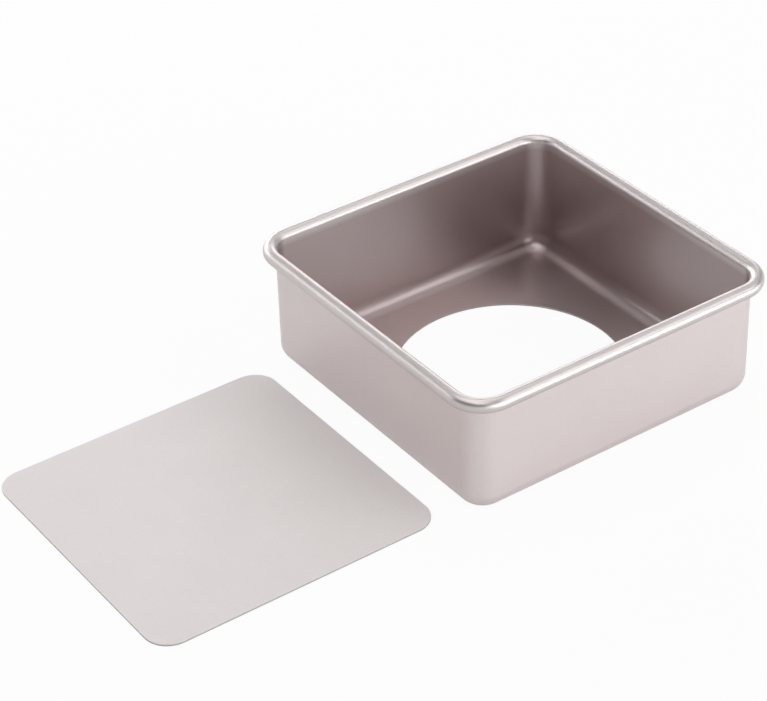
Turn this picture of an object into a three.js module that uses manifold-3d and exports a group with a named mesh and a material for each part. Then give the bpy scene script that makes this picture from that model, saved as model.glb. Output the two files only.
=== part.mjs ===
// A square cake pan with a loose base, in millimetres, +Z up.
// The pan is drawn from one sheet: a base with a round push-up hole, four upright walls and a rim
// that is curled outwards over a stiffening wire. The loose plate covers the hole when it lies on
// the ledge inside the pan. Here it is taken out and lies on the table in front of the pan.
// The origin is on the table, under the middle of the whole set: the pan stands towards +Y and the
// plate lies towards -Y.
import * as THREE from "three";
import { mergeVertices, toCreasedNormals } from "three/addons/utils/BufferGeometryUtils.js";
import Module from "manifold-3d";

// Driving dimensions of the drawn pan
const INNER_WIDTH = 152; // clear width between opposite walls
const PAN_HEIGHT = 60; // underside of the base to the top of the rim
const SHEET = 0.8; // thickness of the pan's sheet
const WALL_CORNER_RADIUS = 11; // inside radius of the four upright corners
const FLOOR_FILLET = 7.5; // inside radius where a wall turns into the base
const LEDGE_WIDTH = 16.5; // flat ledge between the hole and the fillet, where it is narrowest

// Driving dimensions of the wired rim
const WIRE_DIAMETER = 4.2; // wire inside the curl
const WIRE_CLEARANCE = 0.3; // between the wire and the curl around it
const CURL_GAP = 0.55; // slot between the end of the curl and the wall below it

// Driving dimensions of the loose base plate
const PLATE_THICKNESS = 0.8;
const PLATE_CLEARANCE = 0.4; // between the seated plate's edge and the start of the fillet
const PLATE_CORNER_EASE = 0.5; // how much rounder the plate's corners are than the walls' corners
const TABLE_GAP = 5.85; // from the rim to the plate beside it, seen from above

// Fineness of the round stretches
const CORNER_STEPS = 8; // along each upright corner
const FILLET_STEPS = 8;
const CURL_TOP_STEPS = 14;
const CURL_UNDER_STEPS = 10;
const WIRE_SIDES = 16;
const HOLE_SIDES = 96;
const CREASE_ANGLE = Math.PI / 6; // edges sharper than this are shaded as edges

// Sizes and places that follow from the driving dimensions
const QUARTER_TURN = Math.PI / 2;
const LEAST_CORNER_RADIUS = 0.5; // a fillet wider than the wall corner stops at this corner radius
const innerHalf = INNER_WIDTH / 2;
const boreRadius = WIRE_DIAMETER / 2 + WIRE_CLEARANCE;
const beadRadius = boreRadius + SHEET;
const beadHeight = PAN_HEIGHT - beadRadius;
const curlEnd = -Math.acos((SHEET + CURL_GAP) / beadRadius - 1);
const rimHalf = innerHalf + 2 * beadRadius;
const floorHalf = innerHalf - FLOOR_FILLET;
const holeRadius = floorHalf - LEDGE_WIDTH;
const plateHalf = floorHalf - PLATE_CLEARANCE;
const plateCornerRadius = WALL_CORNER_RADIUS + PLATE_CORNER_EASE;
const pitch = rimHalf + TABLE_GAP + plateHalf;
const panY = (pitch + plateHalf - rimHalf) / 2;
const plateY = panY - pitch;

const wasm = await Module();
wasm.setup();

// Points of a circular arc, in an outline or a section.
function arc(x, y, radius, start, end, steps, clockwise = false) {
  return new THREE.EllipseCurve(x, y, radius, radius, start, end, clockwise).getPoints(steps);
}

// A square with rounded corners, counterclockwise seen from above.
function roundedSquare(half, radius) {
  const points = [];
  const corner = new THREE.Vector2(half - radius, half - radius);
  const middle = new THREE.Vector2();
  for (let turn = 0; turn < 4; turn++) {
    const start = turn * QUARTER_TURN;
    const centre = corner.clone().rotateAround(middle, start);
    points.push(...arc(centre.x, centre.y, radius, start, start + QUARTER_TURN, CORNER_STEPS));
  }
  return points;
}

// The outline of the inner wall moved outwards by an offset, which also widens its corners.
function wallOutline(offset) {
  const radius = Math.max(WALL_CORNER_RADIUS + offset, LEAST_CORNER_RADIUS);
  return roundedSquare(innerHalf + offset, radius);
}

// A body that follows the walls all round. Each point of the section, an offset from the inner wall
// and a height, becomes one outline. An open section starts and ends on the flat base, which closes
// it there with two level faces. A closed section makes a ring.
function sweepRound(section, isRing) {
  const outlines = section.map((point) => wallOutline(point.x));
  const count = outlines[0].length;
  const positions = [];
  section.forEach((point, i) => outlines[i].forEach((p) => positions.push(p.x, p.y, point.y)));
  const faces = [];
  const strips = isRing ? section.length : section.length - 1;
  for (let i = 0; i < strips; i++) {
    const low = i * count;
    const high = ((i + 1) % section.length) * count;
    for (let j = 0; j < count; j++) {
      const next = (j + 1) % count;
      faces.push(low + j, low + next, high + next);
      faces.push(low + j, high + next, high + j);
    }
  }
  if (!isRing) {
    const last = section.length - 1;
    const underside = section.length * count;
    const floor = underside + 1;
    positions.push(0, 0, section[0].y);
    positions.push(0, 0, section[last].y);
    for (let j = 0; j < count; j++) {
      const next = (j + 1) % count;
      faces.push(underside, next, j);
      faces.push(floor, last * count + j, last * count + next);
    }
  }
  const geometry = new THREE.BufferGeometry();
  geometry.setAttribute("position", new THREE.Float32BufferAttribute(positions, 3));
  geometry.setIndex(faces);
  return geometry;
}

// A closed geometry as a solid that can be cut.
function solidOf(geometry) {
  const bare = new THREE.BufferGeometry();
  bare.setAttribute("position", geometry.getAttribute("position"));
  bare.setIndex(geometry.getIndex());
  const merged = mergeVertices(bare);
  const vertProperties = merged.getAttribute("position").array;
  const triVerts = Uint32Array.from(merged.getIndex().array);
  return new wasm.Manifold(new wasm.Mesh({ numProp: 3, vertProperties, triVerts }));
}

// A cut solid as a geometry again.
function geometryOf(solid) {
  const mesh = solid.getMesh();
  const geometry = new THREE.BufferGeometry();
  geometry.setAttribute("position", new THREE.BufferAttribute(mesh.vertProperties, mesh.numProp));
  geometry.setIndex(new THREE.BufferAttribute(mesh.triVerts, 1));
  return geometry;
}

function namedMesh(name, geometry, finish) {
  const shaded = toCreasedNormals(geometry, CREASE_ANGLE);
  const mesh = new THREE.Mesh(shaded, new THREE.MeshStandardMaterial(finish));
  mesh.name = name;
  return mesh;
}

// One face of the sheet, from the edge of the flat base up the wall and round the curl. The depth is
// 0 for the face inside the pan, and the sheet's thickness for the face outside.
function sheetFace(depth) {
  const filletCentreHeight = SHEET + FLOOR_FILLET;
  const filletRadius = FLOOR_FILLET + depth;
  const curlRadius = beadRadius - depth;
  return [
    ...arc(-FLOOR_FILLET, filletCentreHeight, filletRadius, -QUARTER_TURN, 0, FILLET_STEPS),
    ...arc(beadRadius, beadHeight, curlRadius, Math.PI, 0, CURL_TOP_STEPS, true),
    ...arc(beadRadius, beadHeight, curlRadius, 0, curlEnd, CURL_UNDER_STEPS, true).slice(1),
  ];
}

// The drawn pan: base, walls and curled rim in one sheet, with the push-up hole punched through.
function panBody() {
  const section = [...sheetFace(SHEET), ...sheetFace(0).reverse()];
  const punchLength = 3 * SHEET;
  const punch = new THREE.CylinderGeometry(holeRadius, holeRadius, punchLength, HOLE_SIDES);
  punch.rotateX(QUARTER_TURN);
  punch.translate(0, 0, SHEET / 2);
  const punched = solidOf(sweepRound(section, false)).subtract(solidOf(punch));
  const finish = { color: 0xb3a29e, roughness: 0.38, metalness: 0.85 };
  return namedMesh("pan_body", geometryOf(punched), finish);
}

// The stiffening wire, a butt-welded ring trapped in the curl.
function rimWire() {
  const circle = arc(beadRadius, beadHeight, WIRE_DIAMETER / 2, 0, 2 * Math.PI, WIRE_SIDES);
  circle.pop();
  const finish = { color: 0x8d9094, roughness: 0.45, metalness: 1 };
  return namedMesh("rim_wire", sweepRound(circle, true), finish);
}

// The loose base, a plain stamped plate.
function loosePlate() {
  const outline = new THREE.Shape(roundedSquare(plateHalf, plateCornerRadius));
  const plate = new THREE.ExtrudeGeometry(outline, { depth: PLATE_THICKNESS, bevelEnabled: false });
  const finish = { color: 0xcbc0bc, roughness: 0.42, metalness: 0.8 };
  return namedMesh("loose_base_plate", plate, finish);
}

const pan = new THREE.Group();
pan.position.y = panY;
pan.add(panBody(), rimWire());

const plate = loosePlate();
plate.position.y = plateY;

const cakePan = new THREE.Group();
cakePan.add(pan, plate);

export default cakePan;
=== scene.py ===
# %% [markdown]
# A square cake pan with a loose base. The pan is drawn from one sheet of steel: a base with a
# round hole, four upright walls and a rim curled over a wire. A flat plate covers the hole from
# inside, and here it is taken out and lies on the table.
# The measured solids come first, as a fixed frame. Every piece that is made below lies in that
# frame, in metres, so nothing has to be fitted to anything afterwards.

# %% Load the measured parts
import math

import bmesh
import bpy
from mathutils import Matrix, Vector


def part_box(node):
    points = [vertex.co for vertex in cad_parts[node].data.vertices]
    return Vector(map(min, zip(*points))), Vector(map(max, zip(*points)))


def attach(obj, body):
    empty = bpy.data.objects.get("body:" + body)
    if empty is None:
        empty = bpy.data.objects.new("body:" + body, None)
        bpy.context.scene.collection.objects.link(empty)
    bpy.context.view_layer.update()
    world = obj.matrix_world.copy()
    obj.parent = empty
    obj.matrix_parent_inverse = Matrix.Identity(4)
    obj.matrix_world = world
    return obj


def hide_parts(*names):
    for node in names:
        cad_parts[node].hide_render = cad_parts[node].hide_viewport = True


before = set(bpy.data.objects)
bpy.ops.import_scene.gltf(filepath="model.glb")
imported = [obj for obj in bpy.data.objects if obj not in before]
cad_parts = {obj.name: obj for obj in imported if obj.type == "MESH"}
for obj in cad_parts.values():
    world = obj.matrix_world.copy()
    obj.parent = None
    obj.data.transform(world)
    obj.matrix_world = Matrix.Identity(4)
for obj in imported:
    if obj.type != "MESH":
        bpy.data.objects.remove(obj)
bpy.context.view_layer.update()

# %% [markdown]
# The camera stands where the photograph was taken from: in front of the pan and to its right,
# looking down at about 35 degrees from a little over a metre away, through a long lens. A long
# lens keeps the pan's upright edges nearly parallel. The camera is built from a bearing and a
# height angle, because these two are easy to read off the edges of a square box. The roll is the
# small tilt of the whole picture.

# %% Place the camera
CAMERA_BEARING = math.radians(55.616)
CAMERA_ELEVATION = math.radians(34.688)
CAMERA_ROLL = math.radians(-1.921)
CAMERA_DISTANCE = 1.1531
CAMERA_AIM = Vector((-0.04714, 0.035155, 0.0))
CAMERA_LENS = 119.66


def unit_vector(bearing, elevation):
    """The direction to a place in the sky: bearing 0 lies towards -Y, a quarter turn towards +X."""
    level = math.cos(elevation)
    return Vector((math.sin(bearing) * level, -math.cos(bearing) * level, math.sin(elevation)))


towards_camera = unit_vector(CAMERA_BEARING, CAMERA_ELEVATION)
camera = bpy.data.objects.new("camera", bpy.data.cameras.new("camera"))
bpy.context.scene.collection.objects.link(camera)
camera.data.lens = CAMERA_LENS
level_view = (-towards_camera).to_track_quat("-Z", "Y").to_matrix().to_4x4()
tilt = Matrix.Rotation(CAMERA_ROLL, 4, towards_camera)
stand = Matrix.Translation(CAMERA_AIM + towards_camera * CAMERA_DISTANCE)
camera.matrix_world = stand @ tilt @ level_view
bpy.context.scene.camera = camera
print("camera at", [round(c, 3) for c in camera.matrix_world.translation])

# %% [markdown]
# The finish of the real pan is a satin non-stick coating in a warm champagne grey. Seen close, it
# is a clear film full of metal flakes: each flake is a little lighter or darker, the film pulls
# into a faint orange peel, and its tone drifts slowly from place to place. The pan and the plate
# both have it, so these three effects go into one node group with named inputs, and each material
# sets its own values. A painted picture could hold the same marks, but noise in the pattern of the
# nodes has no seams and stays sharp at any distance.

# %% Helpers for node trees
def add_node(tree, kind, inputs=None, **settings):
    """A new node. Each input is a plain value or the socket of another node to link from."""
    node = tree.nodes.new(kind)
    for name, value in settings.items():
        setattr(node, name, value)
    for name, value in (inputs or {}).items():
        if isinstance(value, bpy.types.NodeSocket):
            tree.links.new(value, node.inputs[name])
        else:
            node.inputs[name].default_value = value
    return node


def new_group(name, inputs, outputs):
    """A shader node group with the given sockets, and the two nodes that hold them inside it."""
    group = bpy.data.node_groups.new(name, "ShaderNodeTree")
    for label, kind, value in inputs:
        socket = group.interface.new_socket(label, in_out="INPUT", socket_type=kind)
        socket.default_value = value
    for label in outputs:
        group.interface.new_socket(label, in_out="OUTPUT", socket_type="NodeSocketFloat")
    return group, group.nodes.new("NodeGroupInput"), group.nodes.new("NodeGroupOutput")


def math_value(tree, operation, first, second):
    """What one operation makes of two values, each a number or a socket."""
    return add_node(tree, "ShaderNodeMath", {0: first, 1: second}, operation=operation).outputs[0]


def noise(tree, place, scale, detail, roughness=0.5):
    """Cloudy noise from 0 to 1 at a place, with a scale in cells per metre."""
    settings = {"Vector": place, "Scale": scale, "Detail": detail, "Roughness": roughness}
    return add_node(tree, "ShaderNodeTexNoise", settings).outputs["Fac"]


# %% The flake, drift and orange peel of the coating
DRIFT_DETAIL = 3.0
PEEL_DETAIL = 2.0

coating_marks, given, result = new_group(
    "coating marks",
    [
        ("Place", "NodeSocketVector", (0.0, 0.0, 0.0)),
        ("Flake size", "NodeSocketFloat", 0.00022),
        ("Drift size", "NodeSocketFloat", 0.03),
        ("Peel size", "NodeSocketFloat", 0.0012),
    ],
    ["Flake", "Drift", "Peel"],
)
place = given.outputs["Place"]
per_metre = {
    mark: math_value(coating_marks, "DIVIDE", 1.0, given.outputs[mark + " size"])
    for mark in ("Flake", "Drift", "Peel")
}
cells = add_node(coating_marks, "ShaderNodeTexVoronoi", {"Vector": place, "Scale": per_metre["Flake"]})
cell_tone = add_node(coating_marks, "ShaderNodeSeparateColor", {"Color": cells.outputs["Color"]})
drift = noise(coating_marks, place, scale=per_metre["Drift"], detail=DRIFT_DETAIL)
peel = noise(coating_marks, place, scale=per_metre["Peel"], detail=PEEL_DETAIL)
coating_marks.links.new(cell_tone.outputs["Red"], result.inputs["Flake"])
coating_marks.links.new(drift, result.inputs["Drift"])
coating_marks.links.new(peel, result.inputs["Peel"])
print("group", coating_marks.name, "with", len(coating_marks.nodes), "nodes")

# %% [markdown]
# Steel that has been pulled or cut shows fine parallel lines: along the wire, down the sheared edge
# of the hole, and very faintly in the coating where the sheet was stretched over the punch. Lines
# are noise that is squeezed across and stretched along. The group takes the two scales as a vector,
# so a material can point its lines along any axis.

# %% The lines of drawn and sheared steel
LINE_DETAIL = 4.0
LINE_ROUGHNESS = 0.6

steel_lines, given, result = new_group(
    "steel lines",
    [
        ("Place", "NodeSocketVector", (0.0, 0.0, 0.0)),
        ("Lines per metre", "NodeSocketVector", (1000.0, 1000.0, 1000.0)),
    ],
    ["Line"],
)
stretched = add_node(
    steel_lines,
    "ShaderNodeVectorMath",
    {0: given.outputs["Place"], 1: given.outputs["Lines per metre"]},
    operation="MULTIPLY",
)
squeezed = stretched.outputs["Vector"]
line = noise(steel_lines, squeezed, scale=1.0, detail=LINE_DETAIL, roughness=LINE_ROUGHNESS)
steel_lines.links.new(line, result.inputs["Line"])
print("group", steel_lines.name, "with", len(steel_lines.nodes), "nodes")

# %% [markdown]
# The coating is one recipe for three surfaces. Inside the pan the film is dense with flakes and
# glossy, so it is nearly metal, and it is darker than outside: that darker colour is painted shade,
# a shaded copy of the outer colour for the inside of the pan. Outside it is paler and duller, and
# on the loose base it is the palest and mirrors next to nothing. On the pan the faint lines run
# upwards, the way the sheet was drawn, and on the base they run across, the way the sheet was
# rolled. Within each surface the colour stays within a few hundredths of its middle: flake and
# drift show as life, not as spots. Roughness follows them, and the orange peel is a relief of a few
# thousandths of a millimetre. Where the coated sheet was stretched round the rim, the film is thin
# and smooth, and the colour turns lighter, from the painted shade of the wall to a lit colour close
# to the outside's: painted light at the top of the inside. The rim could have a material of its
# own, but that would end in a line. Its height tells it from the wall, so one material fades from
# the wall's colour to the rim's over a few millimetres.

# %% Helpers for mixing
# A Mix node has sockets called A and B for each kind of data, so they are told apart by number.
def mix_value(tree, share, low, high):
    """A number that goes from low to high with a share from 0 to 1. Each is a number or a socket."""
    inputs = {0: share, 2: low, 3: high}
    return add_node(tree, "ShaderNodeMix", inputs, data_type="FLOAT").outputs[0]


def mix_colour(tree, share, low, high):
    """A colour from low to high with a share from 0 to 1. Each end is a colour or a socket."""
    inputs = {0: share}
    for slot, end in ((6, low), (7, high)):
        inputs[slot] = end if isinstance(end, bpy.types.NodeSocket) else (*end, 1.0)
    return add_node(tree, "ShaderNodeMix", inputs, data_type="RGBA").outputs[2]


def steel_line(tree, place, lines_per_metre):
    """The group of steel lines, placed in a material."""
    inputs = {"Place": place, "Lines per metre": lines_per_metre}
    return add_node(tree, "ShaderNodeGroup", inputs, node_tree=steel_lines).outputs["Line"]


# %% The recipe of the coating
FILM_ROUGHNESS = 0.15
FLAKE_SHARE = 0.5
LINE_SHARE = 0.15
PEEL_DEPTH = 0.000006
RIM_STARTS = 0.0535
RIM_FULL = 0.0562
RIM_FILM = 0.1
SMOOTH_RELIEF = 0.5
NORMAL_GLOSS = 0.5


def champagne_coating(
    name, lines_per_metre, dark, light, roughness, metallic, film, gloss=NORMAL_GLOSS, rim=None
):
    """The satin coating. Its faint lines run along the axis that has the fewest lines per metre."""
    material = bpy.data.materials.new(name)
    material.use_nodes = True
    tree = material.node_tree
    shader = tree.nodes["Principled BSDF"]
    place = add_node(tree, "ShaderNodeTexCoord").outputs["Object"]
    marks = add_node(tree, "ShaderNodeGroup", {"Place": place}, node_tree=coating_marks)
    line = steel_line(tree, place, lines_per_metre)
    tone = mix_value(tree, FLAKE_SHARE, marks.outputs["Drift"], marks.outputs["Flake"])
    tone = mix_value(tree, LINE_SHARE, tone, line)
    colour = mix_colour(tree, tone, dark, light)
    relief = marks.outputs["Peel"]
    # Painted light: towards the rim the colour turns lighter by height, from the wall's painted shade
    # to a lit colour; the relief and film fade there too.
    if rim:
        height = add_node(tree, "ShaderNodeSeparateXYZ", {"Vector": place}).outputs["Z"]
        fade = {"Value": height, "From Min": RIM_STARTS, "From Max": RIM_FULL}
        lit_and_smooth_rim = add_node(tree, "ShaderNodeMapRange", fade).outputs["Result"]
        colour = mix_colour(tree, lit_and_smooth_rim, colour, mix_colour(tree, tone, *rim))
        relief = mix_value(tree, lit_and_smooth_rim, relief, SMOOTH_RELIEF)
        thin_film = mix_value(tree, lit_and_smooth_rim, film, RIM_FILM)
        tree.links.new(thin_film, shader.inputs["Coat Weight"])
    tree.links.new(colour, shader.inputs["Base Color"])
    tree.links.new(mix_value(tree, tone, *roughness), shader.inputs["Roughness"])
    bump = add_node(tree, "ShaderNodeBump", {"Height": relief, "Distance": PEEL_DEPTH})
    tree.links.new(bump.outputs["Normal"], shader.inputs["Normal"])
    shader.inputs["Metallic"].default_value = metallic
    shader.inputs["Specular IOR Level"].default_value = gloss
    shader.inputs["Coat Weight"].default_value = film
    shader.inputs["Coat Roughness"].default_value = FILM_ROUGHNESS
    return material


# %% Coat the inside, the outside and the loose base
DRAWN_LINES = (500.0, 500.0, 12.0)
ROLLED_LINES = (12.0, 500.0, 500.0)

# The inside's darker colours are painted shade, a shaded copy of the outer colour; the rim colours are
# the lighter, lit colour.
shaded_inner_coating = champagne_coating(
    "shaded_inner_coating",
    DRAWN_LINES,
    dark=(0.496, 0.413, 0.409),
    light=(0.589, 0.493, 0.488),
    roughness=(0.36, 0.46),
    metallic=0.93,
    film=0.6,
    rim=((0.665, 0.617, 0.612), (0.75, 0.696, 0.69)),
)
outer_coating = champagne_coating(
    "outer_coating",
    DRAWN_LINES,
    dark=(0.742, 0.674, 0.669),
    light=(0.863, 0.784, 0.779),
    roughness=(0.4, 0.5),
    metallic=0.9,
    film=0.1,
)
base_coating = champagne_coating(
    "base_coating",
    ROLLED_LINES,
    dark=(0.765, 0.718, 0.714),
    light=(0.88, 0.83, 0.825),
    roughness=(0.5, 0.58),
    metallic=0.0,
    film=0.0,
    gloss=0.2,
)
print("coatings:", shaded_inner_coating.name, outer_coating.name, base_coating.name)

# %% [markdown]
# Where the coated sheet is sheared, bare steel shows: round the punched hole, at the end of the
# curl and all round the plate. The wire in the rim is bare steel too. Both are grey metal with fine
# lines, so one function makes them, and the direction of the lines tells them apart: down through
# the sheet on a sheared edge, along the wire on the wire, which lies level all round.

# %% Bare steel
STEEL_DARK = (0.38, 0.373, 0.366)
STEEL_LIGHT = (0.62, 0.612, 0.604)
LINE_DEPTH = 0.00002
SHEARED_LINES = (4000.0, 4000.0, 300.0)
WIRE_LINES = (40.0, 40.0, 9000.0)


def bare_steel(name, lines_per_metre, roughness):
    """Uncoated steel with lines, rough where they are dark."""
    material = bpy.data.materials.new(name)
    material.use_nodes = True
    tree = material.node_tree
    shader = tree.nodes["Principled BSDF"]
    place = add_node(tree, "ShaderNodeTexCoord").outputs["Object"]
    line = steel_line(tree, place, lines_per_metre)
    tree.links.new(mix_colour(tree, line, STEEL_DARK, STEEL_LIGHT), shader.inputs["Base Color"])
    tree.links.new(mix_value(tree, line, *roughness), shader.inputs["Roughness"])
    bump = add_node(tree, "ShaderNodeBump", {"Height": line, "Distance": LINE_DEPTH})
    tree.links.new(bump.outputs["Normal"], shader.inputs["Normal"])
    shader.inputs["Metallic"].default_value = 1.0
    return material


sheared_steel = bare_steel("sheared_steel", SHEARED_LINES, roughness=(0.6, 0.35))
drawn_wire = bare_steel("drawn_wire", WIRE_LINES, roughness=(0.5, 0.3))
print("steels:", sheared_steel.name, drawn_wire.name)

# %% [markdown]
# The pan's sizes come from the measured parts: the rim's width and height from the pan, the height
# of the curl's middle and the wire's thickness from the wire. The few sizes that a box around a
# part can't tell are written down here.

# %% Sizes of the pan
SHEET = 0.0008
WALL_CORNER = 0.011
FLOOR_FILLET = 0.0075
HOLE_RADIUS = 0.052
CURL_GAP = 0.00055
QUARTER = math.pi / 2

pan_low, pan_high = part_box("pan_body")
wire_low, wire_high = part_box("rim_wire")
pan_middle = Vector(((pan_low.x + pan_high.x) / 2, (pan_low.y + pan_high.y) / 2, 0.0))
rim_half = (pan_high.x - pan_low.x) / 2
bead_height = (wire_low.z + wire_high.z) / 2
bead_radius = pan_high.z - bead_height
wire_radius = (wire_high.z - wire_low.z) / 2
inner_half = rim_half - 2 * bead_radius
corner_reach = inner_half - WALL_CORNER
print(f"inside width {inner_half * 2:.4f}, rim {rim_half * 2:.4f}, bead {bead_radius * 2:.4f} m")

# %% [markdown]
# A drawn pan has the same section all the way round, so one line is enough: out of the base, up
# round the fillet, straight up the wall and round the curl. It is the inner face of the sheet. It
# starts as one vertex. Spinning a vertex draws an arc, and extruding it draws a straight line, so
# the arcs are true and no list of points is needed.

# %% Draw the section of the sheet
FILLET_STEPS = 12
CURL_STEPS = 44
ALONG_Y = Vector((0.0, 1.0, 0.0))


def last_vertex(made):
    """The vertex that an operator made last."""
    return [part for part in made if isinstance(part, bmesh.types.BMVert)][-1]


curl_turn = math.pi + math.acos((SHEET + CURL_GAP) / bead_radius - 1)
pan_mesh = bmesh.new()
tip = pan_mesh.verts.new((inner_half - FLOOR_FILLET, corner_reach, SHEET))
fillet_middle = (inner_half - FLOOR_FILLET, corner_reach, SHEET + FLOOR_FILLET)
arc = bmesh.ops.spin(
    pan_mesh, geom=[tip], cent=fillet_middle, axis=-ALONG_Y, angle=QUARTER, steps=FILLET_STEPS
)
tip = last_vertex(arc["geom_last"])
tip = last_vertex(bmesh.ops.extrude_vert_indiv(pan_mesh, verts=[tip])["verts"])
tip.co.z = bead_height
bead_middle = (inner_half + bead_radius, corner_reach, bead_height)
bmesh.ops.spin(
    pan_mesh, geom=[tip], cent=bead_middle, axis=ALONG_Y, angle=curl_turn, steps=CURL_STEPS
)
section_top = max(v.co.z for v in pan_mesh.verts)
print(f"section of {len(pan_mesh.verts)} points, top at {section_top:.4f} m")

# %% [markdown]
# The section now goes once round the pan. At each corner it is spun a quarter turn about the
# upright axis of that corner, and along each wall it is extruded in a straight line. The same helper
# carries the round section of the wire later. When the front comes back to where it started, the two
# rows of vertices are merged, which closes the seam.

# %% Carry the section round the four walls
WALLS = 4
CORNER_STEPS = 18
WALL_STEPS = 8
SEAM_GAP = 0.00001
UPRIGHT = Vector((0.0, 0.0, 1.0))


def carry_round(mesh, section):
    """Sweeps a section, which stands at the start of the first corner, round all four walls."""
    front = list(section)
    for wall in range(WALLS):
        turn = Matrix.Rotation(wall * QUARTER, 3, "Z")
        axis_foot = turn @ Vector((corner_reach, corner_reach, 0.0))
        spun = bmesh.ops.spin(
            mesh, geom=front, cent=axis_foot, axis=UPRIGHT, angle=QUARTER, steps=CORNER_STEPS
        )
        front = [part for part in spun["geom_last"] if isinstance(part, bmesh.types.BMEdge)]
        step = turn @ Vector((-2 * corner_reach / WALL_STEPS, 0.0, 0.0))
        for _ in range(WALL_STEPS):
            drawn = bmesh.ops.extrude_edge_only(mesh, edges=front)["geom"]
            moved = [part for part in drawn if isinstance(part, bmesh.types.BMVert)]
            bmesh.ops.translate(mesh, verts=moved, vec=step)
            front = [part for part in drawn if isinstance(part, bmesh.types.BMEdge)]
    bmesh.ops.remove_doubles(mesh, verts=mesh.verts[:], dist=SEAM_GAP)


carry_round(pan_mesh, pan_mesh.edges[:])
print("walls of", len(pan_mesh.faces), "faces")

# %% [markdown]
# The base is what lies between the foot of the fillet and the round hole. Both are closed loops in
# one level plane, so the space between them is filled with triangles. Bridging the loops would pair
# the points of a square with those of a circle and leave long thin faces in the corners.

# %% Fill the base around the hole
HOLE_STEPS = 128

low_edges = [edge for edge in pan_mesh.edges if edge.verts[0].co.z < bead_height / 2]
foot = [edge for edge in low_edges if edge.is_boundary]
hole = bmesh.ops.create_circle(
    pan_mesh, radius=HOLE_RADIUS, segments=HOLE_STEPS, matrix=Matrix.Translation((0.0, 0.0, SHEET))
)
hole_edges = list({edge for vert in hole["verts"] for edge in vert.link_edges})
bmesh.ops.triangle_fill(pan_mesh, use_beauty=True, edges=foot + hole_edges, normal=UPRIGHT)
print("base of", len(pan_mesh.faces), "faces in all, hole of", len(hole_edges), "edges")

# %% [markdown]
# A finished mesh becomes an object at the origin, with its place in its vertices, as the measured
# parts have it. The Solidify modifier then gives the sheet its thickness, outwards from the inner
# face, so the faces have to point into the pan first. Its rim faces, the sheared edges, take the
# second material. A narrow bevel takes the razor edge off them, and weighted normals keep the flat
# walls flat in the light although the round parts beside them are shaded smooth.

# %% Helpers for pieces of sheet
BEHIND_THE_FACE = -1.0
SHEARED_FINISH = 1
SHEAR_BEVEL = 0.00012
SHEAR_BEVEL_STEPS = 2
SHARP_ANGLE = math.radians(50)


def new_piece(name, mesh, materials, middle):
    """Moves a mesh to its place and makes it an object, shaded smooth."""
    bmesh.ops.translate(mesh, verts=mesh.verts[:], vec=middle)
    for face in mesh.faces:
        face.smooth = True
    data = bpy.data.meshes.new(name)
    mesh.to_mesh(data)
    mesh.free()
    for material in materials:
        data.materials.append(material)
    piece = bpy.data.objects.new(name, data)
    bpy.context.scene.collection.objects.link(piece)
    return piece


def finish_sheet(piece, thickness, back_material):
    """Turns a skin into sheet metal: thickness behind its faces, eased edges, flat faces flat."""
    wall = piece.modifiers.new("sheet thickness", "SOLIDIFY")
    wall.thickness = thickness
    wall.offset = BEHIND_THE_FACE
    wall.use_even_offset = True
    wall.material_offset = back_material
    wall.material_offset_rim = SHEARED_FINISH
    edge = piece.modifiers.new("eased edges", "BEVEL")
    edge.width = SHEAR_BEVEL
    edge.segments = SHEAR_BEVEL_STEPS
    edge.limit_method = "ANGLE"
    edge.angle_limit = SHARP_ANGLE
    flat = piece.modifiers.new("flat faces", "WEIGHTED_NORMAL")
    flat.keep_sharp = True
    return piece


# %% Give the sheet its thickness
bmesh.ops.recalc_face_normals(pan_mesh, faces=pan_mesh.faces[:])
base_face = min(pan_mesh.faces, key=lambda face: face.calc_center_median().z)
if base_face.normal.z < 0:
    bmesh.ops.reverse_faces(pan_mesh, faces=pan_mesh.faces[:])
pan_finishes = [shaded_inner_coating, sheared_steel, outer_coating]
drawn_pan = new_piece("drawn_pan", pan_mesh, pan_finishes, pan_middle)
finish_sheet(drawn_pan, SHEET, back_material=pan_finishes.index(outer_coating))
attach(drawn_pan, "pan")
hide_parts("pan_body")
print("drawn_pan:", len(drawn_pan.data.polygons), "faces before its thickness")

# %% [markdown]
# The wire in the rim stiffens it. It is trapped in the curl, and only the slot under the curl lets
# a little of it be seen. It is a circle carried round the walls by the same helper.

# %% Bend the wire
WIRE_SIDES = 24

wire_mesh = bmesh.new()
wire_section = Matrix.Translation(bead_middle) @ Matrix.Rotation(QUARTER, 4, "X")
bmesh.ops.create_circle(wire_mesh, radius=wire_radius, segments=WIRE_SIDES, matrix=wire_section)
carry_round(wire_mesh, wire_mesh.edges[:])
bmesh.ops.recalc_face_normals(wire_mesh, faces=wire_mesh.faces[:])
stiffening_wire = new_piece("stiffening_wire", wire_mesh, [drawn_wire], pan_middle)
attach(stiffening_wire, "pan")
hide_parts("rim_wire")
print("stiffening_wire:", len(stiffening_wire.data.polygons), "faces")

# %% [markdown]
# The loose base is a flat blank, stamped out of the same coated sheet. A grid of one square gives
# the blank, and bevelling its four corner points rounds them with true arcs. The skin is the upper
# face, and the same modifiers give it thickness and edges.

# %% Stamp the loose base
PLATE_CORNER = 0.0115
PLATE_CORNER_STEPS = 14

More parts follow.
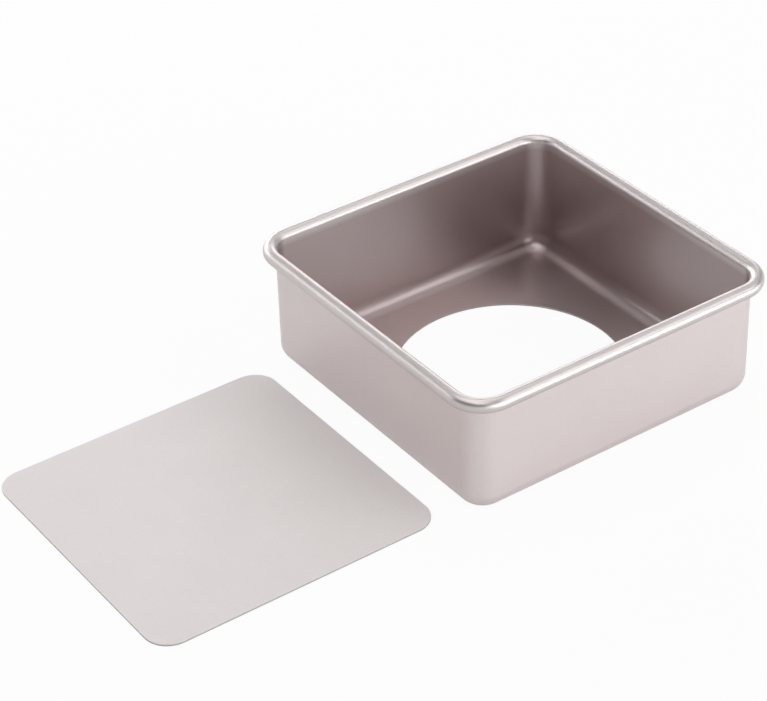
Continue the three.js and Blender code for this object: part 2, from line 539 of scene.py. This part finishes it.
plate_low, plate_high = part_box("loose_base_plate")
plate_middle = (plate_low + plate_high) / 2
plate_middle.z = plate_high.z
plate_half = (plate_high.x - plate_low.x) / 2
plate_mesh = bmesh.new()
bmesh.ops.create_grid(plate_mesh, x_segments=1, y_segments=1, size=plate_half)
bmesh.ops.bevel(
    plate_mesh,
    geom=plate_mesh.verts[:],
    affect="VERTICES",
    offset=PLATE_CORNER,
    segments=PLATE_CORNER_STEPS,
    profile=0.5,
    material=-1,
)
loose_base = new_piece("loose_base", plate_mesh, [base_coating, sheared_steel], plate_middle)
finish_sheet(loose_base, plate_high.z - plate_low.z, back_material=0)
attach(loose_base, "base_plate")
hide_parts("loose_base_plate")
print("loose_base:", len(loose_base.data.polygons), "face before its thickness")

# %% [markdown]
# The pan stands on a plain white table. To the camera it is nearly all a plain white glow of
# strength 1, so that the background is white, and the rest of it is the lit table, which carries a
# soft shadow. Metal and glass see the same white table with less of the glow: what lies in the
# shadow under the pan stays darker there, as it does on a real table. All other rays see the lit
# table alone.

# %% The table
TABLE_SIZE = 6.0
TABLE_COLOUR = (0.82, 0.82, 0.82, 1.0)
TABLE_ROUGHNESS = 0.9
WHITE = (1.0, 1.0, 1.0, 1.0)
GLOW_SEEN = 0.94
GLOW_MIRRORED = 0.2

table_paper = bpy.data.materials.new("table_paper")
table_paper.use_nodes = True
paper = table_paper.node_tree
lit_paper = paper.nodes["Principled BSDF"]
lit_paper.inputs["Base Color"].default_value = TABLE_COLOUR
lit_paper.inputs["Roughness"].default_value = TABLE_ROUGHNESS
ray = add_node(paper, "ShaderNodeLightPath").outputs
mirrored = math_value(paper, "MAXIMUM", ray["Is Glossy Ray"], ray["Is Transmission Ray"])
glow_mirrored = math_value(paper, "MULTIPLY", mirrored, GLOW_MIRRORED)
glow_seen = math_value(paper, "MULTIPLY", ray["Is Camera Ray"], GLOW_SEEN)
glow_share = math_value(paper, "MAXIMUM", glow_seen, glow_mirrored)
glow = add_node(paper, "ShaderNodeEmission", {"Color": WHITE, "Strength": 1.0})
seen_table = add_node(
    paper, "ShaderNodeMixShader", {0: glow_share, 1: lit_paper.outputs[0], 2: glow.outputs[0]}
)
paper.links.new(seen_table.outputs[0], paper.nodes["Material Output"].inputs["Surface"])

table_mesh = bmesh.new()
bmesh.ops.create_grid(table_mesh, x_segments=1, y_segments=1, size=TABLE_SIZE / 2)
table = new_piece("table", table_mesh, [table_paper], Vector((0.0, 0.0, 0.0)))
print("table", TABLE_SIZE, "m wide")

# %% [markdown]
# Satin metal shows its surroundings, so its look is made by what stands around it. Softboxes stand
# low to the right, behind and to the left of the pan and light the outer walls. Two more are
# raised at the right and the back for the inner walls, a narrow strip at the front draws the
# highlight along the near rim, and three lit cloths hang overhead and light the loose base evenly.
# All of them are large and no more than about three times as bright as white paper, so the surfaces
# that face them keep their own colour. A small bare lamp would light the walls as well, but it would
# have to be many times brighter, and it would leave hard glints on the rim.

# %% Helpers for softboxes and cloths
LAMP_DISTANCE = 1.5
BANK_WIDTH = 1.15
SCRIM_HEIGHT = 1.6
SCRIM_SIZE = 1.0


def area_lamp(name, width, height, radiance):
    """A rectangular lamp at the origin that shines down. A mirror shows it as bright as radiance."""
    lamp = bpy.data.lights.new(name, "AREA")
    lamp.shape = "RECTANGLE"
    lamp.size = width
    lamp.size_y = height
    lamp.energy = radiance * math.pi * width * height
    box = bpy.data.objects.new(name, lamp)
    box.visible_camera = False
    bpy.context.scene.collection.objects.link(box)
    return box


def softbox(name, bearing, radiance, heights):
    """A lamp that stands upright, far out on the table, and faces its middle."""
    bottom, top = heights
    box = area_lamp(name, BANK_WIDTH, top - bottom, radiance)
    outwards = unit_vector(math.radians(bearing), 0.0)
    box.location = outwards * LAMP_DISTANCE + Vector((0.0, 0.0, (bottom + top) / 2))
    box.rotation_mode = "QUATERNION"
    box.rotation_quaternion = outwards.to_track_quat("Z", "Y")
    return box


def scrim(name, x, y, radiance):
    """A square of lit cloth that hangs level above the table."""
    cloth = area_lamp(name, SCRIM_SIZE, SCRIM_SIZE, radiance)
    cloth.location = (x, y, SCRIM_HEIGHT)
    return cloth


# %% Place the lamps
LOW_BANK = (0.05, 0.87)
FOOT_BANK = (0.0, 0.4)
BACK_BANK = (0.27, 0.87)
RAISED_BANK = (0.9, 2.3)
FRONT_STRIP = (0.55, 0.97)
SCRIM_OFFSET = 0.5

lamps = [
    softbox("bank_near_right", bearing=96, radiance=2.7, heights=LOW_BANK),
    softbox("bank_right", bearing=130, radiance=3.2, heights=FOOT_BANK),
    softbox("bank_back", bearing=230, radiance=2.1, heights=BACK_BANK),
    softbox("bank_left", bearing=270, radiance=3.1, heights=BACK_BANK),
    softbox("strip_front", bearing=308, radiance=2.3, heights=FRONT_STRIP),
    softbox("raised_right", bearing=138, radiance=2.0, heights=RAISED_BANK),
    softbox("raised_back", bearing=185, radiance=0.9, heights=RAISED_BANK),
    scrim("scrim_back", x=-SCRIM_OFFSET, y=SCRIM_OFFSET, radiance=1.7),
    scrim("scrim_left", x=-SCRIM_OFFSET, y=-SCRIM_OFFSET, radiance=1.4),
    scrim("scrim_front", x=SCRIM_OFFSET, y=-SCRIM_OFFSET, radiance=1.8),
]
print("lamps:", ", ".join(lamp.name for lamp in lamps))

# %% [markdown]
# The room around the table is the world. It is white up to about ten degrees above the table, like
# the wall of a studio, and dark above that, so only the lamps light the inside of the pan. Every
# kind of ray sees the same room, so the background that the camera sees is also what the metal
# mirrors.

# %% World
WHITE_UP_TO = math.radians(10)
DARK_FROM = math.radians(16)

world = bpy.data.worlds.new("studio")
world.use_nodes = True
bpy.context.scene.world = world
room = world.node_tree
direction = add_node(room, "ShaderNodeTexCoord").outputs["Generated"]
height = add_node(room, "ShaderNodeSeparateXYZ", {"Vector": direction}).outputs["Z"]
brightness = add_node(
    room,
    "ShaderNodeMapRange",
    {
        "Value": height,
        "From Min": math.sin(WHITE_UP_TO),
        "From Max": math.sin(DARK_FROM),
        "To Min": 1.0,
        "To Max": 0.0,
    },
)
room.links.new(brightness.outputs["Result"], room.nodes["Background"].inputs["Strength"])
room.nodes["Background"].inputs["Color"].default_value = WHITE
bpy.context.scene.view_settings.view_transform = "Standard"
print(f"room white up to {math.degrees(WHITE_UP_TO):.0f} degrees above the table")
